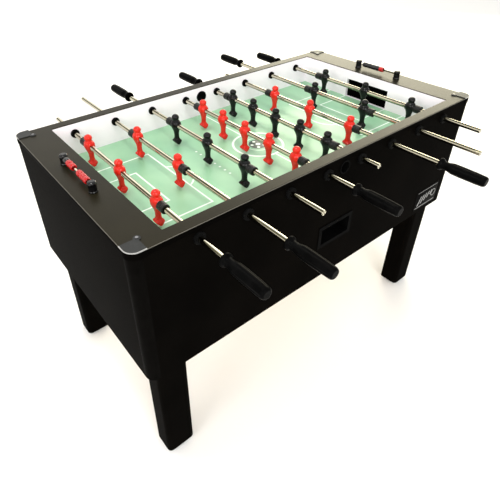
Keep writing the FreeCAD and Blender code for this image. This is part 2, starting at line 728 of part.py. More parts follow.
# ------------------------------------------------------------------- scorers
def make_scorers():
    """Each end has two posts, a wire between them, and beads that slide on the wire."""
    post = new_body("scorer_post")
    turned(post, [(0, 0), ("postRadius", 0), ("postRadius", "postHigh - postDome"),
                  ("postRadius - postDome", "postHigh"), (0, "postHigh")], role="XZ_Plane")
    socket = new_sketch(post, "XZ_Plane", "-postRadius")
    circle(socket, "wireRadius", 0, "wireRise")
    pocket(post, socket, "wireSeat", reverse=True)
    bead = new_body("bead")
    turned(bead, [("beadBore", 0), ("beadRadius - edgeBevel", 0), ("beadRadius", "edgeBevel"),
                  ("beadRadius", "beadThick - edgeBevel"), ("beadRadius - edgeBevel", "beadThick"),
                  ("beadBore", "beadThick")])
    wire_reach = "(scorerHalf - postRadius + wireSeat)"
    wire = cylinder("scorer_wire", "wireRadius", f"2 * {wire_reach}", turn=ALONG_Y)
    posts, wires = [], []
    for end in (-1, 1):
        x, middle = f"{end} * scorerX", f"{-end} * scorerShift"
        posts.append(copy(post, x, f"{middle} - scorerHalf", "tableHeight"))
        posts.append(copy(post, x, f"{middle} + scorerHalf", "tableHeight", HALF_TURN))
        wires.append(copy(wire, x, f"{middle} - {wire_reach}", WIRE_Z))
    part(group("scorer_post_set", posts), "scorer_posts")
    part(group("scorer_wire_set", wires), "scorer_wires")
    first = "(scorerHalf - postRadius - slideMargin)"
    blocks = (("left_black_bead", -1, 1, 0, 1), ("left_far_red_beads", -1, 1, 1, 2),
              ("left_near_red_beads", -1, -1, 0, 3), ("right_black_beads", 1, 1, 0, 4),
              ("right_red_bead", 1, 1, 4, 1))
    for label, end, side, skipped, count in blocks:
        beads = []
        for step in range(skipped, skipped + count):
            low = f"{first} - {step + 1} * beadThick" if side > 0 else f"-{first} + {step} * beadThick"
            beads.append(copy(bead, f"{end} * scorerX", f"{low} + {-end} * scorerShift", WIRE_Z))
        part(group(label + "_set", beads), label)


def check_and_export():
    doc.recompute()
    failed = [thing.Name for thing in doc.Objects if {"Invalid", "Error"} & set(thing.State)]
    if failed:
        raise RuntimeError(f"objects that did not compute: {failed}")
    for thing in parts:
        if thing.Shape.isNull() or not thing.Shape.isValid():
            raise RuntimeError(f"bad shape: {thing.Label}")
    os.makedirs("parts", exist_ok=True)
    for thing in parts:
        thing.Shape.exportStep(f"parts/{thing.Label}.step")
        print(f"{thing.Label}: {len(thing.Shape.Solids)} solids, {thing.Shape.Volume / 1000:.1f} cm3")


fill_sheet()
make_side_panels()
make_side_liners()
make_end_panels()
make_corner_posts()
make_corner_caps()
make_top_decks()
make_side_rails()
make_end_walls()
make_playfield()
make_floor()
make_goal_boxes()
make_ball_runways()
make_return_tray()
make_serve_cups()
make_bearings()
make_fasteners(make_legs())
make_rods()
make_scorers()
check_and_export()
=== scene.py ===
import bpy
import json
import math
import numpy as np
from mathutils import Matrix, Vector


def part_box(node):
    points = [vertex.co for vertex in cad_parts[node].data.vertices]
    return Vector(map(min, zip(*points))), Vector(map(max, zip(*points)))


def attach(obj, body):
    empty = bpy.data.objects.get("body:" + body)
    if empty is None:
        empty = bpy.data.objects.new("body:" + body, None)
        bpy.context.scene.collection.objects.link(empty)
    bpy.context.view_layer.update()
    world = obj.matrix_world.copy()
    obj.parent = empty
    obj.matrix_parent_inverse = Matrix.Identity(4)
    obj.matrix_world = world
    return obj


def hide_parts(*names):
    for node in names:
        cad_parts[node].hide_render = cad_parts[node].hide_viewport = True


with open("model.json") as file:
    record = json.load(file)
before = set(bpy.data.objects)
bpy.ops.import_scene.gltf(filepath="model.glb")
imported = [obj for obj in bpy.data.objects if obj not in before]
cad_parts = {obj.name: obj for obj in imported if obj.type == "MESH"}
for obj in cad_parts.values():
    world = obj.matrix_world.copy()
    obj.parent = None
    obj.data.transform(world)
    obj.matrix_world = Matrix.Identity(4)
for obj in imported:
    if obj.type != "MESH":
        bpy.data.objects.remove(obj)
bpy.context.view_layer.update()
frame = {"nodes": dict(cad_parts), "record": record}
print("frame loaded")

teams = {"red": "red_player", "black": "black_player"}
rodNames = [name[:-4] for name in frame["nodes"] if name.endswith("_rod")]
slotOf = {row["node"]: row["material_slot"] for row in frame["record"]["subparts"]}


def gridFaces(rings, around, closedAlong=False):
    # quads between each ring of points and the next, as one array of corner numbers
    row = np.arange(rings if closedAlong else rings - 1)[:, None]
    col = np.arange(around)[None, :]
    nextRow = (row + 1) % rings
    nextCol = (col + 1) % around
    quads = np.stack([row * around + col, row * around + nextCol,
                      nextRow * around + nextCol, nextRow * around + col], axis=-1)
    return quads.reshape(-1, 4)


def shell(points, closedAlong=False):
    # points: rings x around x 3. Open ends are closed by a fan to the middle of the last ring.
    rings, around = points.shape[:2]
    verts = points.reshape(-1, 3)
    faces = gridFaces(rings, around, closedAlong).tolist()
    if not closedAlong:
        col = np.arange(around)
        for ring, middle in ((0, rings * around), (rings - 1, rings * around + 1)):
            fan = np.stack([ring * around + col, ring * around + (col + 1) % around,
                            np.full(around, middle)], axis=-1)
            faces += (fan[:, ::-1] if ring == 0 else fan).tolist()
        verts = np.vstack([verts, points[0].mean(axis=0), points[-1].mean(axis=0)])
    return facingOut(verts, faces)


def facingOut(verts, faces):
    # six times the enclosed volume, from the first three corners of each face and its fourth
    corners = np.array([face if len(face) == 4 else face + face[-1:] for face in faces])
    a, b, c, d = (verts[corners[:, k]] for k in range(4))
    volume = np.einsum("ij,ij->i", a, np.cross(b, c) + np.cross(c, d)).sum()
    if volume < 0:
        faces = [face[::-1] for face in faces]
    return verts, faces


def softened(corners, radius, steps=5):
    # each corner of a line becomes a parabola between the two points that lie radius away along
    # its runs, with one more point a little further out on each side, so that flats shade flat
    corners = np.array(corners, float)
    before, here, after = corners[:-2], corners[1:-1], corners[2:]

    def partWay(other, reach, most):
        run = other - here
        length = np.linalg.norm(run, axis=1, keepdims=True)
        return (here + run / length * np.minimum(reach, length * most))[:, None]

    start, end = partWay(before, radius, 0.47), partWay(after, radius, 0.47)
    t = np.linspace(0, 1, steps)[None, :, None]
    curve = (1 - t) ** 2 * start + 2 * t * (1 - t) * here[:, None] + t ** 2 * end
    further = radius * 1.2
    lead, tail = partWay(before, further, 0.49), partWay(after, further, 0.49)
    curve = np.concatenate([lead, curve, tail], axis=1)
    return np.vstack([corners[:1], curve.reshape(-1, 2), corners[-1:]])


def softLoop(corners, radius, steps):
    # the same for a closed line, whose corners end with the first one named again
    around = [corners[-2]] + corners + [corners[1]]
    return softened(around, radius, steps)[1:-1]


def turnedShell(profile, sides=48, flute=None, closedAlong=False):
    # a profile of (distance along, radius) carried round the Y axis; flute scales the radius
    profile = np.array(profile, float)
    angle = np.linspace(0, 2 * math.pi, sides, endpoint=False)[None, :]
    along, radius = profile[:, :1], profile[:, 1:]
    if flute is not None:
        radius = radius * flute(along, angle)
    points = np.stack([radius * np.cos(angle), np.broadcast_to(along, (len(profile), sides)),
                       radius * np.sin(angle)], axis=-1)
    return shell(points, closedAlong)


def roundedBoard(low, high, radius, steps=4):
    # a box whose edges are rounded: a ball of that radius swept over the inner box, which is every
    # direction's ball point pushed out to the inner box's corner of that direction
    low, high = np.array(low, float), np.array(high, float)
    quarter = np.linspace(0, math.pi / 2, steps + 1)
    turn = np.concatenate([quarter + k * math.pi / 2 for k in range(4)])
    cornerX = np.repeat([1, 0, 0, 1], steps + 1)
    cornerY = np.repeat([1, 1, 0, 0], steps + 1)
    tilt = np.concatenate([quarter - math.pi / 2, quarter])
    cornerZ = np.repeat([0, 1], steps + 1)
    inner = np.stack([low + radius, high - radius])
    t, u = tilt[:, None], turn[None, :]
    points = np.stack([inner[cornerX, 0] + radius * np.cos(t) * np.cos(u),
                       inner[cornerY, 1] + radius * np.cos(t) * np.sin(u),
                       inner[cornerZ, 2][:, None] + radius * np.sin(t) + 0 * u], axis=-1)
    return shell(points)


def moved(part, x=0.0, y=0.0, z=0.0, flipY=False):
    verts, faces = part
    verts = np.array(verts, float)
    if flipY:  # half a turn about the upright axis keeps faces outward
        verts = verts * np.array([-1, -1, 1])
    return verts + np.array([x, y, z]), faces


def joined(parts):
    verts, faces, start = [], [], 0
    for partVerts, partFaces in parts:
        verts.append(partVerts)
        faces += [[corner + start for corner in face] for face in partFaces]
        start += len(partVerts)
    return np.vstack(verts), faces


def meshObject(name, part):
    verts, faces = part
    mesh = bpy.data.meshes.new(name)
    mesh.from_pydata(verts.tolist(), [], faces)
    mesh.validate()
    mesh.shade_smooth()
    mesh.set_sharp_from_angle(angle=math.radians(40))
    obj = bpy.data.objects.new(name, mesh)
    bpy.context.collection.objects.link(obj)
    return obj


def addPiece(name, part, body, slot, material, *nodes):
    obj = meshObject(name, part)
    obj.data.materials.append(material)
    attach(obj, body)
    if nodes:
        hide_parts(*nodes)
    return obj


def addNode(tree, kind, links=None, **values):
    node = tree.nodes.new(kind)
    for key, value in values.items():
        setattr(node, key, value)
    for key, value in (links or {}).items():
        if isinstance(value, bpy.types.NodeSocket):
            tree.links.new(value, node.inputs[key])
        else:
            node.inputs[key].default_value = value
    return node


def maths(tree, operation, first, second=0.0, third=0.0):
    links = {0: first, 1: second, 2: third}
    return addNode(tree, "ShaderNodeMath", links, operation=operation).outputs[0]


def mixColour(tree, factor, first, second):
    node = addNode(tree, "ShaderNodeMix", data_type="RGBA")
    for index, value in ((0, factor), (6, first), (7, second)):
        if isinstance(value, bpy.types.NodeSocket):
            tree.links.new(value, node.inputs[index])
        else:
            node.inputs[index].default_value = value if index == 0 else (*value, 1)
    return node.outputs[2]


def noiseOf(tree, place, scale, detail=3.0, stretch=(1, 1, 1)):
    spot = addNode(tree, "ShaderNodeMapping", {"Vector": place, "Scale": stretch}).outputs[0]
    links = {"Vector": spot, "Scale": scale, "Detail": detail}
    return addNode(tree, "ShaderNodeTexNoise", links).outputs[0]


def spread(tree, value, low, high, fromLow=0.3, fromHigh=0.7):
    links = {"Value": value, "From Min": fromLow, "From Max": fromHigh,
             "To Min": low, "To Max": high}
    return addNode(tree, "ShaderNodeMapRange", links).outputs[0]


def finish(name, look, paint=None):
    # two shades in soft patches, a fine grain in the gloss, and a fine relief in the surface
    material = bpy.data.materials.new(name)
    material.use_nodes = True
    tree = material.node_tree
    shader = tree.nodes["Principled BSDF"]
    place = addNode(tree, "ShaderNodeTexCoord").outputs["Object"]
    stretch = look.get("stretch", (1, 1, 1))
    patch = noiseOf(tree, place, look["patchScale"], 3.0, stretch)
    grain = noiseOf(tree, place, look["grainScale"], 2.0, stretch)
    colour = mixColour(tree, spread(tree, patch, 0, 1), look["colour"], look["shade"])
    if paint:
        colour = paint(tree, place, colour)
    tree.links.new(colour, shader.inputs["Base Color"])
    low, high = look["roughness"]
    tree.links.new(spread(tree, grain, low, high), shader.inputs["Roughness"])
    relief = noiseOf(tree, place, look["reliefScale"], 2.0, stretch)
    bump = addNode(tree, "ShaderNodeBump",
                   {"Height": relief, "Strength": look["relief"], "Distance": reliefDepth})
    tree.links.new(bump.outputs[0], shader.inputs["Normal"])
    for socket, value in look.get("set", {}).items():
        shader.inputs[socket].default_value = value
    return material


reliefDepth = 0.0005
looks = {
    "black_panel": dict(
        colour=(0.0016, 0.0014, 0.0012), shade=(0.0026, 0.0022, 0.0018), patchScale=6,
        grainScale=500, roughness=(0.36, 0.48), reliefScale=900, relief=0.12,
        set={"Specular IOR Level": 0.0012}),
    "rim_laminate": dict(
        colour=(0.008, 0.0068, 0.0032), shade=(0.012, 0.0100, 0.0048), patchScale=9,
        grainScale=700, roughness=(0.34, 0.44), reliefScale=1500, relief=0.15,
        set={"Specular Tint": (1, 0.92, 0.72, 1)}),
    "white_laminate": dict(
        colour=(0.88, 0.82, 0.88), shade=(0.84, 0.79, 0.84), patchScale=5,
        grainScale=400, roughness=(0.3, 0.42), reliefScale=900, relief=0.05),
    "pitch_laminate": dict(
        colour=(0.21, 0.455, 0.275), shade=(0.345, 0.60, 0.375), patchScale=4.5,
        grainScale=500, roughness=(0.28, 0.4), reliefScale=1200, relief=0.06),
    "plain_board": dict(
        colour=(0.42, 0.30, 0.18), shade=(0.50, 0.38, 0.24), patchScale=30,
        grainScale=600, roughness=(0.7, 0.85), reliefScale=700, relief=0.4),
    "corner_moulding": dict(
        colour=(0.0018, 0.0016, 0.0014), shade=(0.003, 0.0027, 0.0024), patchScale=20,
        grainScale=900, roughness=(0.34, 0.46), reliefScale=1800, relief=0.25,
        set={"Specular IOR Level": 0.003}),
    "corner_cap_plastic": dict(
        colour=(0.020, 0.021, 0.021), shade=(0.030, 0.031, 0.031), patchScale=40,
        grainScale=1200, roughness=(0.36, 0.5), reliefScale=1600, relief=0.35),
    "black_moulding": dict(
        colour=(0.0016, 0.0016, 0.0016), shade=(0.003, 0.003, 0.003), patchScale=30,
        grainScale=1200, roughness=(0.3, 0.42), reliefScale=1800, relief=0.3,
        set={"Specular IOR Level": 0.004}),
    "bearing_plastic": dict(
        colour=(0.003, 0.003, 0.003), shade=(0.006, 0.006, 0.006), patchScale=60,
        grainScale=1200, roughness=(0.28, 0.4), reliefScale=2000, relief=0.2,
        set={"Specular IOR Level": 0.005}),
    "gloss_black": dict(
        colour=(0.0012, 0.0012, 0.0015), shade=(0.003, 0.003, 0.0035), patchScale=50,
        grainScale=900, roughness=(0.05, 0.10), reliefScale=500, relief=0.04,
        set={"Specular IOR Level": 0.3}),
    "bead_black": dict(
        colour=(0.004, 0.004, 0.005), shade=(0.009, 0.009, 0.01), patchScale=60,
        grainScale=900, roughness=(0.09, 0.16), reliefScale=600, relief=0.04),
    "bead_red": dict(
        colour=(0.44, 0.005, 0.006), shade=(0.34, 0.004, 0.005), patchScale=60,
        grainScale=900, roughness=(0.1, 0.18), reliefScale=600, relief=0.04),
    "red_player": dict(
        colour=(0.62, 0.016, 0.006), shade=(0.50, 0.010, 0.004), patchScale=45,
        grainScale=900, roughness=(0.12, 0.2), reliefScale=350, relief=0.06,
        set={"Specular IOR Level": 0.32}),
    "black_player": dict(
        colour=(0.0012, 0.0014, 0.0014), shade=(0.003, 0.0035, 0.0035), patchScale=45,
        grainScale=900, roughness=(0.10, 0.17), reliefScale=350, relief=0.06,
        set={"Specular IOR Level": 0.2}),
    "grip_plastic": dict(
        colour=(0.0012, 0.0012, 0.0012), shade=(0.0025, 0.0025, 0.0025), patchScale=40,
        grainScale=900, roughness=(0.26, 0.38), reliefScale=1500, relief=0.25,
        set={"Specular IOR Level": 0.015}),
    "bumper_rubber": dict(
        colour=(0.003, 0.0035, 0.003), shade=(0.007, 0.008, 0.007), patchScale=60,
        grainScale=1000, roughness=(0.3, 0.42), reliefScale=1600, relief=0.3,
        set={"Specular IOR Level": 0.25}),
    "leveller_rubber": dict(
        colour=(0.012, 0.012, 0.012), shade=(0.022, 0.022, 0.022), patchScale=60,
        grainScale=1000, roughness=(0.6, 0.75), reliefScale=1600, relief=0.4),
    "rod_chrome": dict(
        colour=(0.70, 0.66, 0.54), shade=(0.58, 0.54, 0.42), patchScale=12,
        grainScale=500, roughness=(0.03, 0.07), reliefScale=900, relief=0.03,
        stretch=(1, 0.05, 1), set={"Metallic": 1.0}),
    "badge_silver": dict(
        colour=(0.18, 0.18, 0.18), shade=(0.28, 0.28, 0.28), patchScale=150,
        grainScale=1500, roughness=(0.35, 0.5), reliefScale=2500, relief=0.1),
    "fastener_steel": dict(
        colour=(0.16, 0.16, 0.17), shade=(0.24, 0.24, 0.25), patchScale=150,
        grainScale=1500, roughness=(0.3, 0.45), reliefScale=2500, relief=0.3,
        set={"Metallic": 1.0}),
}

# the pitch is printed on its board: lengths in metres from the middle of the pitch, spots as
# shares of the ball's radius
pitchPrint = dict(line=0.0055, soft=0.0008, bigFront=0.346, bigHalf=0.188,
                  smallFront=0.442, smallHalf=0.101, arcCentre=0.379, arcRadius=0.079,
                  circle=0.090, innerCircle=0.047, ball=0.034, circleWeight=0.75, discShade=0.45,
                  dotRow=0.205, dotGap=0.027, dotCount=8, dotRadius=0.0042,
                  spotRing=0.68, spotRadius=0.17, middleSpot=0.25, thinLine=0.0014,
                  white=(0.82, 0.93, 0.84), dark=(0.035, 0.055, 0.045), mid=(0.20, 0.40, 0.27))


def printPitch(tree, place, colour):
    p = pitchPrint
    split = addNode(tree, "ShaderNodeSeparateXYZ", {0: place})
    x, y = split.outputs[0], split.outputs[1]
    fromEnd, fromMiddle = maths(tree, "ABSOLUTE", x), maths(tree, "ABSOLUTE", y)

    def inked(distance, half):
        # 1 where the distance is under half a line's width, fading over the soft edge
        return addNode(tree, "ShaderNodeMapRange", {"Value": distance, "From Min": half - p["soft"],
                       "From Max": half + p["soft"], "To Min": 1.0, "To Max": 0.0}).outputs[0]

    def line(signed):
        return inked(maths(tree, "ABSOLUTE", signed), p["line"] / 2)

    def either(*masks):
        total = masks[0]
        for mask in masks[1:]:
            total = maths(tree, "MAXIMUM", total, mask)
        return total

    def boxLine(front, half):
        return line(maths(tree, "MAXIMUM", maths(tree, "SUBTRACT", front, fromEnd),
                          maths(tree, "SUBTRACT", fromMiddle, half)))

    def away(centreX, centreY, alongX=x, alongY=y):
        dx, dy = maths(tree, "SUBTRACT", alongX, centreX), maths(tree, "SUBTRACT", alongY, centreY)
        return maths(tree, "SQRT", maths(tree, "ADD", maths(tree, "MULTIPLY", dx, dx),
                                         maths(tree, "MULTIPLY", dy, dy)))

    centre = away(0.0, 0.0)
    arc = line(maths(tree, "SUBTRACT", away(p["arcCentre"], 0.0, fromEnd), p["arcRadius"]))
    arc = maths(tree, "MULTIPLY", arc, maths(tree, "LESS_THAN", fromEnd, p["bigFront"]))
    # distance along the row, folded up and down once for each gap; the hundred gaps added keep
    # it above zero
    step = maths(tree, "PINGPONG", maths(tree, "ADD", y, 100 * p["dotGap"]), p["dotGap"] / 2)
    dots = away(p["dotRow"], p["dotGap"] / 2, fromEnd, step)
    dots = maths(tree, "MULTIPLY", inked(dots, p["dotRadius"]),
                 maths(tree, "LESS_THAN", fromMiddle, p["dotGap"] * p["dotCount"] / 2))
    outside = maths(tree, "GREATER_THAN", centre, p["circle"])
    halfway = maths(tree, "MULTIPLY", line(x), outside)
    disc = inked(centre, p["circle"])
    ball = inked(away(0.0, 0.0), p["ball"])
    out = p["ball"] * p["spotRing"]
    ringSpots = [inked(away(out * math.cos(a), out * math.sin(a)), p["ball"] * p["spotRadius"])
                 for a in np.radians([18, 90, 162, 234, 306])]
    spots = either(*ringSpots, inked(centre, p["ball"] * p["middleSpot"]))

    def circleLine(radius, half):
        return inked(maths(tree, "ABSOLUTE", maths(tree, "SUBTRACT", centre, radius)), half)

    white = either(boxLine(p["bigFront"], p["bigHalf"]), boxLine(p["smallFront"], p["smallHalf"]),
                   arc, dots, halfway, circleLine(p["circle"], p["line"] * p["circleWeight"]),
                   circleLine(p["innerCircle"], p["thinLine"]))
    colour = mixColour(tree, maths(tree, "MULTIPLY", disc, p["discShade"]), colour, p["mid"])
    colour = mixColour(tree, white, colour, p["white"])
    colour = mixColour(tree, ball, colour, p["dark"])
    return mixColour(tree, spots, colour, p["white"])


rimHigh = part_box("top_decks")[1]
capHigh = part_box("corner_caps")[1]
# the painted highlight line along the top edges of the rim and the corner caps: its width, how far down
# the sides turn black below it, and its colour
paintedEdgeShape = dict(corner=0.028, shine=0.12,
                 rim=dict(width=0.0011, depth=0.0022, highlightColour=(0.10, 0.095, 0.08)),
                 cap=dict(width=0.0016, depth=0.0030, highlightColour=(0.30, 0.30, 0.29)))


def paintEdges(tree, place, colour, outer, width, depth, highlightColour):
    # inside a rectangle with rounded corners, how far a point lies from the edge is the corner
    # radius less the length of what sticks out past the corner circles' centres. Near the edge a
    # thin lighter line is painted as a highlight on the rounded edge, and below the top the sides
    # are black.
    corner = paintedEdgeShape["corner"]
    split = addNode(tree, "ShaderNodeSeparateXYZ", {0: place})
    fromMiddle = [maths(tree, "ABSOLUTE", split.outputs[k]) for k in (0, 1)]
    past = [maths(tree, "MAXIMUM", maths(tree, "SUBTRACT", fromMiddle[k], outer[k] - corner))
            for k in (0, 1)]
    squares = [maths(tree, "MULTIPLY", side, side) for side in past]
    reach = maths(tree, "SQRT", maths(tree, "ADD", squares[0], squares[1]))
    inside = maths(tree, "SUBTRACT", corner, reach)
    # painted highlight: a thin lighter line along the top edge
    colour = mixColour(tree, maths(tree, "LESS_THAN", inside, width), colour, highlightColour)
    below = maths(tree, "LESS_THAN", split.outputs[2], outer[2] - depth)
    dull = looks["black_panel"]["set"]["Specular IOR Level"]
    shine = spread(tree, below, paintedEdgeShape["shine"], dull, 0, 1)
    tree.links.new(shine, tree.nodes["Principled BSDF"].inputs["Specular IOR Level"])
    return mixColour(tree, below, colour, looks["black_panel"]["colour"])


def paintRimEdges(tree, place, colour):
    return paintEdges(tree, place, colour, rimHigh, **paintedEdgeShape["rim"])


def paintCapEdges(tree, place, colour):
    return paintEdges(tree, place, colour, capHigh, **paintedEdgeShape["cap"])


def paintRodReflections(tree, place, colour):
    # four painted dark reflection bands run along each rod, a quarter turn apart, standing in for
    # the dark edges of the chrome's reflection: the cosine of four times the angle about its axis.
    # Rods stand one pitch apart, so the distance across a rod repeats.
    s = reflectionBands
    split = addNode(tree, "ShaderNodeSeparateXYZ", {0: place})
    fromFirst = maths(tree, "SUBTRACT", split.outputs[0], rodXs[0])
    across = maths(tree, "WRAP", fromFirst, rodPitch / 2, -rodPitch / 2)
    angle = maths(tree, "ARCTAN2", maths(tree, "SUBTRACT", split.outputs[2], rodAxis), across)
    wave = maths(tree, "COSINE", maths(tree, "MULTIPLY_ADD", angle, s["count"], s["start"]))
    return mixColour(tree, spread(tree, wave, 0, 1, s["darkest"], s["clear"]), s["colour"], colour)


# the painted dark reflection bands on the rods: how many go round each rod, where they start, how dark
# they fade, and their colour
reflectionBands = dict(count=4.0, start=0.9, darkest=-0.45, clear=-0.1, colour=(0.10, 0.093, 0.055))
rodAxis = 0.877
rodXs = sorted((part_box(name + "_rod")[0][0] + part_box(name + "_rod")[1][0]) / 2 for name in rodNames)
rodPitch = (rodXs[-1] - rodXs[0]) / (len(rodXs) - 1)
print("rods stand", [round(x, 4) for x in rodXs])
paints = {"pitch_laminate": printPitch, "rim_laminate": paintRimEdges, "corner_cap_plastic": paintCapEdges,
          "rod_chrome": paintRodReflections}
materials = {name: finish(name, look, paints.get(name)) for name, look in looks.items()}
for node, obj in frame["nodes"].items():
    obj.data.materials.clear()
    obj.data.materials.append(materials[slotOf[node]])
print("materials made")

# a player's body in millimetres: heights from the rod, and at each the half width front to back,
# the half width side to side, and how square the outline is
playerShape = dict(
    heights=[39.0, 38.2, 35.8, 31.8, 27.0, 22.6, 19.6, 17.6, 14.5, 10.5, 5.0, -1.0, -7.0,
             -13.0, -19.0, -26.0, -35.0, -44.0, -51.0, -55.0, -58.5, -60.0, -66.0, -70.5, -72.0],
    deep=[1.0, 4.8, 9.0, 12.0, 12.8, 11.6, 10.4, 11.0, 13.6, 15.8, 17.0, 17.0, 15.8,
          13.6, 11.4, 9.4, 8.2, 8.0, 8.8, 10.8, 13.6, 13.6, 9.6, 5.6, 4.0],
    wide=[1.0, 4.8, 9.0, 12.0, 12.8, 11.8, 11.4, 13.0, 16.2, 18.2, 18.9, 18.6, 17.0,
          14.4, 12.2, 10.2, 9.0, 8.8, 9.8, 12.4, 15.0, 15.4, 15.2, 14.6, 14.0],
    squareness=[2, 2, 2, 2, 2, 2, 2, 2, 2.1, 2.2, 2.3, 2.3, 2.3,
                2.2, 2.2, 2.3, 2.5, 2.6, 3, 3.6, 4, 5, 5, 5, 5],
    hub=12.5, hubHalf=17.9, hubEdge=2.5, boreRadius=8.03, boreHalf=0.03, voxel=0.0011,
    around=40, fine=4)


def playerPart():
    # the body's outline at a height is a superellipse, |x/deep|^n + |y/wide|^n = 1, with smooth
    # widths between the listed heights; the hub along the rod is a turned drum. Both are fused,
    # relaxed and bored for the rod.
    p = playerShape
    steps = np.arange(len(p["heights"]))
    fine = np.linspace(0, steps[-1], steps[-1] * p["fine"] + 1)
    heights, deep, wide, power = (smoothThrough(steps, np.array(p[key], float), fine)
                                  for key in ("heights", "deep", "wide", "squareness"))
    angle = np.linspace(0, 2 * math.pi, p["around"], endpoint=False)[None, :]
    flat = 2 / power[:, None]
    points = np.stack([deep[:, None] * np.sign(np.cos(angle)) * np.abs(np.cos(angle)) ** flat,
                       wide[:, None] * np.sign(np.sin(angle)) * np.abs(np.sin(angle)) ** flat,
                       np.broadcast_to(heights[:, None], (len(fine), p["around"]))], axis=-1) / 1000
    h, r = p["hubHalf"] / 1000, p["hub"] / 1000
    drum = softened([(-h, 0.001), (-h, r), (h, r), (h, 0.001)], p["hubEdge"] / 1000)
    hub = turnedShell(drum, p["around"])
    blank = meshObject("player_blank", joined([shell(points), hub]))
    remesh = blank.modifiers.new("fuse", "REMESH")
    remesh.mode, remesh.voxel_size = "VOXEL", p["voxel"]
    relax = blank.modifiers.new("relax", "SMOOTH")
    relax.factor, relax.iterations = 0.5, 6
    h, r = p["boreHalf"], p["boreRadius"] / 1000
    bore = meshObject("player_bore", turnedShell([(-h, r), (h, r)], p["around"]))
    drill = blank.modifiers.new("drill", "BOOLEAN")
    drill.operation, drill.object, drill.solver = "DIFFERENCE", bore, "EXACT"
    evaluated = blank.evaluated_get(bpy.context.evaluated_depsgraph_get())
    mesh = evaluated.to_mesh()
    verts = np.empty(len(mesh.vertices) * 3)
    mesh.vertices.foreach_get("co", verts)
    faces = [list(face.vertices) for face in mesh.polygons]
    evaluated.to_mesh_clear()
    for obj in (blank, bore):
        bpy.data.objects.remove(obj)
    return verts.reshape(-1, 3), faces


def smoothThrough(steps, values, fine):
    # a cubic through the values, whose slope at each is the mean of its two runs, or none at a peak
    runs = np.diff(values)
    slopes = np.concatenate([runs[:1], (runs[:-1] + runs[1:]) / 2, runs[-1:]])
    slopes[1:-1][runs[:-1] * runs[1:] <= 0] = 0
    k = np.minimum(fine.astype(int), len(steps) - 2)
    t = fine - k
    return ((2 * t ** 3 - 3 * t ** 2 + 1) * values[k] + (t ** 3 - 2 * t ** 2 + t) * slopes[k]
            + (3 * t ** 2 - 2 * t ** 3) * values[k + 1] + (t ** 3 - t ** 2) * slopes[k + 1])


player = playerPart()
print("player shaped:", len(player[1]), "faces")

playerGaps = {"goal": 0.208, "defence": 0.243, "midfield": 0.120, "forward": 0.186}
for name in rodNames:
    team = name.split("_")[0]
    low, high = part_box(name + "_men")
    rodX, middle = (low[0] + high[0]) / 2, (low[1] + high[1]) / 2
    gap = playerGaps[name.split("_")[1]]
    count = int(round((high[1] - low[1] - 2 * playerShape["hubHalf"] / 1000) / gap)) + 1
    stations = middle + (np.arange(count) - (count - 1) / 2) * gap
    men = joined([moved(player, rodX, y, rodAxis) for y in stations])
    slot = teams[team]
    addPiece(name + "_players", men, name + "_spinner", slot, materials[slot], name + "_men")
print("players placed")

# the rods' fittings in millimetres
gripShape = dict(profile=[(0, 8.05), (0, 18.6), (6.5, 18.8), (13, 13.0), (25, 12.6), (42, 16.6),
                          (70, 17.0), (112, 16.6), (134, 15.6), (140, 12.5), (140, 0.5)],
                 soften=2.6, flutes=9, depth=0.075, start=34, startFade=14, end=136, endFade=10,
                 spacing=4)


def gripPart():
    # the profile turned about the rod; lengthwise hollows, the cubed cosine of the angle, bite into
    # the body and fade out at its two ends
    g = gripShape

    def flute(along, angle):
        mm = along * 1000
        window = (np.clip((mm - g["start"]) / g["startFade"], 0, 1)
                  * np.clip((g["end"] - mm) / g["endFade"], 0, 1))
        return 1 - g["depth"] * window * np.abs(np.cos(angle * g["flutes"] / 2)) ** 3

    profile = softened(g["profile"], g["soften"], 5)
    dense = [profile[:1]]
    for a, b in zip(profile[:-1], profile[1:]):
        pieces = max(1, int(np.linalg.norm(b - a) // g["spacing"]))
        dense.append(a + (b - a) * np.linspace(0, 1, pieces + 1)[1:, None])
    return turnedShell(np.vstack(dense) / 1000, 72, flute)


bumperShape = dict(length=26.5, bore=8.06, radius=14.0, edge=1.2, grooves=(8.8, 17.7),
                   grooveHalf=0.8, floorHalf=0.4, groove=0.5)


def bumperPart():
    # a ring with rounded rims and two shallow grooves round it
    b = bumperShape
    line = [(0, b["bore"]), (0, b["radius"])]
    for spot in b["grooves"]:
        floor = b["radius"] - b["groove"]
        line += [(spot - b["grooveHalf"], b["radius"]), (spot - b["floorHalf"], floor),
                 (spot + b["floorHalf"], floor), (spot + b["grooveHalf"], b["radius"])]
    line += [(b["length"], b["radius"]), (b["length"], b["bore"]), (0, b["bore"])]
    return turnedShell(softLoop(line, b["edge"], 4) / 1000, 40, closedAlong=True)


grip = gripPart()
ring = bumperPart()
for name in rodNames:
    low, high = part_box(name + "_grip")
    rodX = (low[0] + high[0]) / 2
    near = high[1] < 0
    handle = moved(grip, rodX, high[1] if near else low[1], rodAxis, flipY=near)
    addPiece(name + "_handle", handle, name + "_spinner",
             "grip_plastic", materials["grip_plastic"], name + "_grip")
    low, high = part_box(name + "_bumpers")
    farStart = high[1] - bumperShape["length"] / 1000
    rings = joined([moved(ring, rodX, start, rodAxis) for start in (low[1], farStart)])
    addPiece(name + "_bumper_rings", rings, name + "_carriage",
             "bumper_rubber", materials["bumper_rubber"], name + "_bumpers")

bearingShape = dict(bore=8.06, flange=15.0, flangeThick=6.8, taper=0.4, gap=0.2, sleeve=12.0,
                    edge=1.2, nut=17.0, nutStart=38.0, nutThick=8.0,
                    notches=6, notchDepth=1.3, notchSlope=4, notchCut=2.6)
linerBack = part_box("side_liners")[1][1]
liner = 0.006


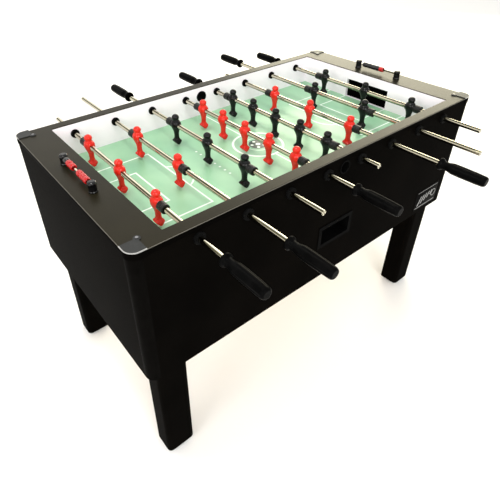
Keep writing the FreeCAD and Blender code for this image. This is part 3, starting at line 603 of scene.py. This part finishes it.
def bearingParts():
    # a flanged bush, and the nut outside with notches cut round it, both measured outwards from
    # the pit's wall
    b = bearingShape
    outer = (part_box("rod_bearings")[1][1] - linerBack + liner) * 1000
    back = -b["gap"]
    inner = back - b["flangeThick"]
    bush = [(inner, b["bore"]), (inner, b["flange"] - b["taper"]), (back, b["flange"]),
            (back, b["sleeve"]), (outer, b["sleeve"]), (outer, b["bore"]), (inner, b["bore"])]
    nutStart, nutEnd = b["nutStart"], b["nutStart"] + b["nutThick"]
    nut = [(nutStart, b["sleeve"]), (nutStart, b["nut"]), (nutEnd, b["nut"]),
           (nutEnd, b["sleeve"]), (nutStart, b["sleeve"])]

    def notched(along, angle):
        # each notch is the top of a cosine, cut off flat at its floor
        wave = np.cos(angle * b["notches"])
        dip = np.clip(wave * b["notchSlope"] - b["notchCut"], 0, 1)
        return 1 - b["notchDepth"] / b["nut"] * dip

    bushLoop, nutLoop = (softLoop(line, b["edge"], 4) / 1000 for line in (bush, nut))
    return (turnedShell(bushLoop, 48, closedAlong=True),
            turnedShell(nutLoop, 96, notched, closedAlong=True))


bush, nut = bearingParts()
wallY = 0.343
for label, part, node in (("bearing_bushes", bush, "rod_bearings"),
                          ("bearing_collars", nut, "bearing_nuts")):
    both = [moved(part, x, side * wallY, rodAxis, flipY=side < 0)
            for x in rodXs for side in (-1, 1)]
    addPiece(label, joined(both), "cabinet", "bearing_plastic", materials["bearing_plastic"], node)
print("rod fittings placed")

# the scorers in millimetres
beadShape = dict(length=20.0, gap=0.2, radius=10.0, barrel=0.8, bore=3.1, edge=3.2)
postShape = dict(line=[(0, 0.4), (0, 13.0), (3.0, 13.0), (5.0, 11.6), (20, 11.6), (24, 12.6),
                       (29.5, 12.0), (32.0, 7.0), (32.0, 0.4)], foot=13.0, edge=1.9)


def beadPart(thick):
    # a barrel with well rounded rims
    b, mm = beadShape, thick * 1000
    start, end, rim = b["gap"], mm - b["gap"], b["radius"] - b["barrel"]
    line = [(start, b["bore"]), (start, rim), (mm / 2, b["radius"]), (end, rim),
            (end, b["bore"]), (start, b["bore"])]
    return turnedShell(softLoop(line, b["edge"], 6) / 1000, 40, closedAlong=True)


for node, body, slot in (("left_black_bead", "left_far_beads", "bead_black"),
                         ("left_far_red_beads", "left_far_beads", "bead_red"),
                         ("left_near_red_beads", "left_near_beads", "bead_red"),
                         ("right_black_beads", "right_beads", "bead_black"),
                         ("right_red_bead", "right_beads", "bead_red")):
    low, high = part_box(node)
    count = int(round((high[1] - low[1]) / (beadShape["length"] / 1000)))
    thick = (high[1] - low[1]) / count
    bead = beadPart(thick)
    middleX, middleZ = (low[0] + high[0]) / 2, (low[2] + high[2]) / 2
    beads = joined([moved(bead, middleX, low[1] + k * thick, middleZ) for k in range(count)])
    addPiece(node + "_turned", beads, body, slot, materials[slot], node)


def postPart():
    # a squat domed post with a foot ring, turned about its own upright axis
    verts, faces = turnedShell(softened(postShape["line"], postShape["edge"], 5) / 1000, 48)
    return np.stack([verts[:, 0], -verts[:, 2], verts[:, 1]], axis=-1), faces


low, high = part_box("scorer_posts")
foot = postShape["foot"] / 1000
post = postPart()
posts = joined([moved(post, x, y, low[2]) for x in (low[0] + foot, high[0] - foot)
                for y in (low[1] + foot, high[1] - foot)])
addPiece("score_posts", posts, "cabinet", "gloss_black", materials["gloss_black"], "scorer_posts")
print("scorers placed")

# the rim in metres: the rounded top edge, the lip over the liner, the corners of the plan, the
# blocks beside the end walls, and the roundings of the rail's section from its low outer corner
rimShape = dict(edge=0.0025, lip=0.003, corner=0.028, block=0.032, blockEdge=0.0002,
                underEdge=0.0001, radii=[0.0004, 0.0025, 0.0006, 0.0002, 0.0002, 0.0004])


def railPart(low, high):
    # the rail's section, a board with a thin inner lip over the white liner, carried lengthwise
    lipLow, back = high[2] - rimShape["lip"], high[1] - liner
    corners = [(low[1], low[2]), (low[1], high[2]), (high[1], high[2]), (high[1], lipLow),
               (back, lipLow), (back, low[2])]
    turns = [(corners[k - 1], corners[k], corners[(k + 1) % 6]) for k in range(6)]
    section = np.vstack([softened(turn, radius, 5)[1:-1]
                         for turn, radius in zip(turns, rimShape["radii"])])
    ends = np.array([low[0], high[0]])[:, None]
    points = np.stack([np.broadcast_to(values, (2, len(section)))
                       for values in (ends, section[:, 0], section[:, 1])], axis=-1)
    return shell(points)


def deckPart(innerX, outerX, halfY, low, top, e):
    # rings of the deck's plan, a board with two rounded outer corners, drawn in by a quarter
    # circle at the top edge
    corner = rimShape["corner"]
    turn = np.linspace(0, math.pi / 2, 9)
    bevel = np.linspace(0, math.pi / 2, 6)
    insets = np.concatenate([[0.0], e * (1 - np.cos(bevel)), [e * 1.3]])
    heights = np.concatenate([[low], top - e + e * np.sin(bevel), [top]])
    rings = []
    for inset, z in zip(insets, heights):
        reach, half, r = outerX - innerX - inset, halfY - inset, corner - inset
        x = np.concatenate([[0], reach - r + r * np.sin(turn), reach - r + r * np.cos(turn), [0]])
        y = np.concatenate([[-half], -half + r - r * np.cos(turn), half - r + r * np.sin(turn),
                            [half]])
        rings.append(np.stack([innerX + x, y, np.full(len(x), z)], axis=-1))
    return shell(np.array(rings))


low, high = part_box("side_rails")
near = railPart((low[0], low[1], low[2]), (high[0], -wallY, high[2]))
addPiece("rim_rails", joined([near, moved(near, flipY=True)]), "cabinet",
         "rim_laminate", materials["rim_laminate"], "side_rails")
low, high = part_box("top_decks")
pitX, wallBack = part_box("playfield_board")[1][0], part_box("end_walls")[1][0]
lipLow = high[2] - rimShape["lip"]
slab = deckPart(pitX, high[0], high[1], lipLow, high[2], rimShape["edge"])
under = deckPart(wallBack, high[0], high[1], low[2], lipLow, rimShape["underEdge"])
blockIn, blockOut = wallY + liner, wallY + liner + rimShape["block"]
blocks = [roundedBoard((pitX, y, low[2]), (wallBack, y + rimShape["block"], lipLow),
                       rimShape["blockEdge"], 1) for y in (blockIn, -blockOut)]
deck = joined([slab, under] + blocks)
addPiece("rim_decks", joined([deck, moved(deck, flipY=True)]), "cabinet",
         "rim_laminate", materials["rim_laminate"], "top_decks")
print("rim placed")

# the badge in metres; each stroke steps aside and up from the one before, and is shorter
badgeShape = dict(middle=(0.578, 0.526), wide=0.150, high=0.092, thick=0.0012, edge=0.0005,
                  slant=0.45, strokes=5, stroke=0.007, strokeHigh=0.040, shorter=0.005, aside=0.019,
                  rise=0.004, sunk=0.0002, raised=0.0006, barEdge=0.0003, lineWide=0.9,
                  lineUp=0.40, lowLine=0.003, topLine=0.0018, ring=0.016, ringWide=0.003,
                  strokesLeft=0.30, ringRight=0.33)


def badgeParts():
    # a thin plate, and raised strokes that lean: each is a small board sheared by its height
    b = badgeShape
    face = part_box("side_panel_front")[0][1]
    cx, cz = b["middle"]
    plate = roundedBoard((cx - b["wide"] / 2, face - b["thick"], cz - b["high"] / 2),
                         (cx + b["wide"] / 2, face, cz + b["high"] / 2), b["edge"], 3)
    front = face - b["thick"]
    out, back = -b["raised"], b["sunk"]

    def bar(x, z, wide, high, lean):
        verts, faces = roundedBoard((-wide / 2, front + out, -high / 2),
                                    (wide / 2, front + back, high / 2), b["barEdge"], 2)
        verts = verts.copy()
        verts[:, 0] += verts[:, 2] * lean
        return verts + np.array([x, 0, z]), faces

    left, right = cx - b["wide"] * b["strokesLeft"], cx + b["wide"] * b["ringRight"]
    strokes = [bar(left + k * b["aside"], cz + b["rise"] * (k - 2), b["stroke"],
                   b["strokeHigh"] - b["shorter"] * k, b["slant"]) for k in range(b["strokes"])]
    up, wide = b["high"] * b["lineUp"], b["wide"] * b["lineWide"]
    lines = [bar(cx, cz - up, wide, b["lowLine"], 0), bar(cx, cz + up, wide, b["topLine"], 0)]
    r, hole = b["ring"], b["ring"] - b["ringWide"]
    profile = np.array([(out, hole), (out, r), (back, r), (back, hole)])
    ring = moved(turnedShell(profile, 48, closedAlong=True), right, front, cz)
    return plate, joined(strokes + lines + [ring])


plate, marks = badgeParts()
addPiece("badge_plate", plate, "cabinet", "gloss_black", materials["black_moulding"])
addPiece("badge_marks", marks, "cabinet", "fastener_steel", materials["badge_silver"])
print("badge placed")

floorHalf = 40.0
floorCorners = np.array([(-1, -1, 0), (1, -1, 0), (1, 1, 0), (-1, 1, 0)]) * floorHalf
floor = meshObject("floor", (floorCorners, [[0, 1, 2, 3]]))
floorLook = dict(colour=(0.90, 0.895, 0.88), shade=(0.91, 0.905, 0.89), patchScale=0.5,
                 grainScale=40, roughness=(0.6, 0.7), reliefScale=60, relief=0.01,
                 set={"Specular IOR Level": 0.1})
floor.data.materials.append(finish("floor_paint", floorLook))

# the surroundings are bright from the horizon up to the low height and fall to dim at the high one;
# heights are the upward part of a direction
surroundings = dict(low=0.50, high=0.72, bright=(1.15, 1.12, 1.04), dim=(0.16, 0.158, 0.15))
world = bpy.data.worlds.new("studio")
bpy.context.scene.world = world
world.use_nodes = True
tree = world.node_tree
background = tree.nodes["Background"]
direction = addNode(tree, "ShaderNodeTexCoord").outputs["Generated"]
height = addNode(tree, "ShaderNodeSeparateXYZ", {0: direction}).outputs[2]
fall = spread(tree, height, 0, 1, surroundings["low"], surroundings["high"])
glow = mixColour(tree, fall, surroundings["bright"], surroundings["dim"])
tree.links.new(glow, background.inputs["Color"])
background.inputs["Strength"].default_value = 1.0


def softbox(name, place, target, size, power, colour=(1, 1, 1)):
    lamp = bpy.data.lights.new(name, "AREA")
    lamp.shape, lamp.size, lamp.size_y = "RECTANGLE", size[0], size[1]
    lamp.energy, lamp.color = power, colour
    obj = bpy.data.objects.new(name, lamp)
    bpy.context.collection.objects.link(obj)
    obj.location = place
    obj.rotation_euler = (Vector(target) - Vector(place)).to_track_quat("-Z", "Y").to_euler()


softbox("wide_wash", (0, 0, 9.0), (0, 0, 0), (14, 14), 620)
softbox("back_wash", (5.5, 8.5, 7.0), (5.5, 8.5, 0), (18, 9), 520)
softbox("front_fill", (-1.5, -4.6, 2.7), (0, 0.1, 0.8), (3.4, 2.2), 150)
softbox("key", (-0.9, 0.1, 3.3), (0, 0, 0.8), (0.42, 0.65), 22, (1, 0.97, 0.92))
softbox("rim_glow", (5.0, 2.9, 2.6), (0.4, 0, 0.9), (4.0, 2.6), 230, (1, 0.93, 0.68))
softbox("left_fill", (-4.2, -0.9, 2.5), (0.3, 0, 0.85), (2.2, 1.8), 70)

# the camera stands off the near left corner and looks down across the table
cameraPlace = Vector((-0.9912, -1.0773, 1.5498))
forward = Vector((0.49974, 0.64595, -0.57707)).normalized()
roll = -0.01555
side = forward.cross(Vector((0, 0, 1))).normalized()
up = side.cross(forward)
right = math.cos(roll) * side + math.sin(roll) * up
top = right.cross(forward)
camera = bpy.data.cameras.new("camera")
camera.lens, camera.sensor_width = 32.49, 36
camera.shift_x, camera.shift_y = 0.0514, -0.0844
cameraObject = bpy.data.objects.new("camera", camera)
bpy.context.collection.objects.link(cameraObject)
turn = Matrix((right, top, -forward)).transposed().to_4x4()
cameraObject.matrix_world = Matrix.Translation(cameraPlace) @ turn
bpy.context.scene.camera = cameraObject
bpy.context.scene.view_settings.view_transform = "Standard"
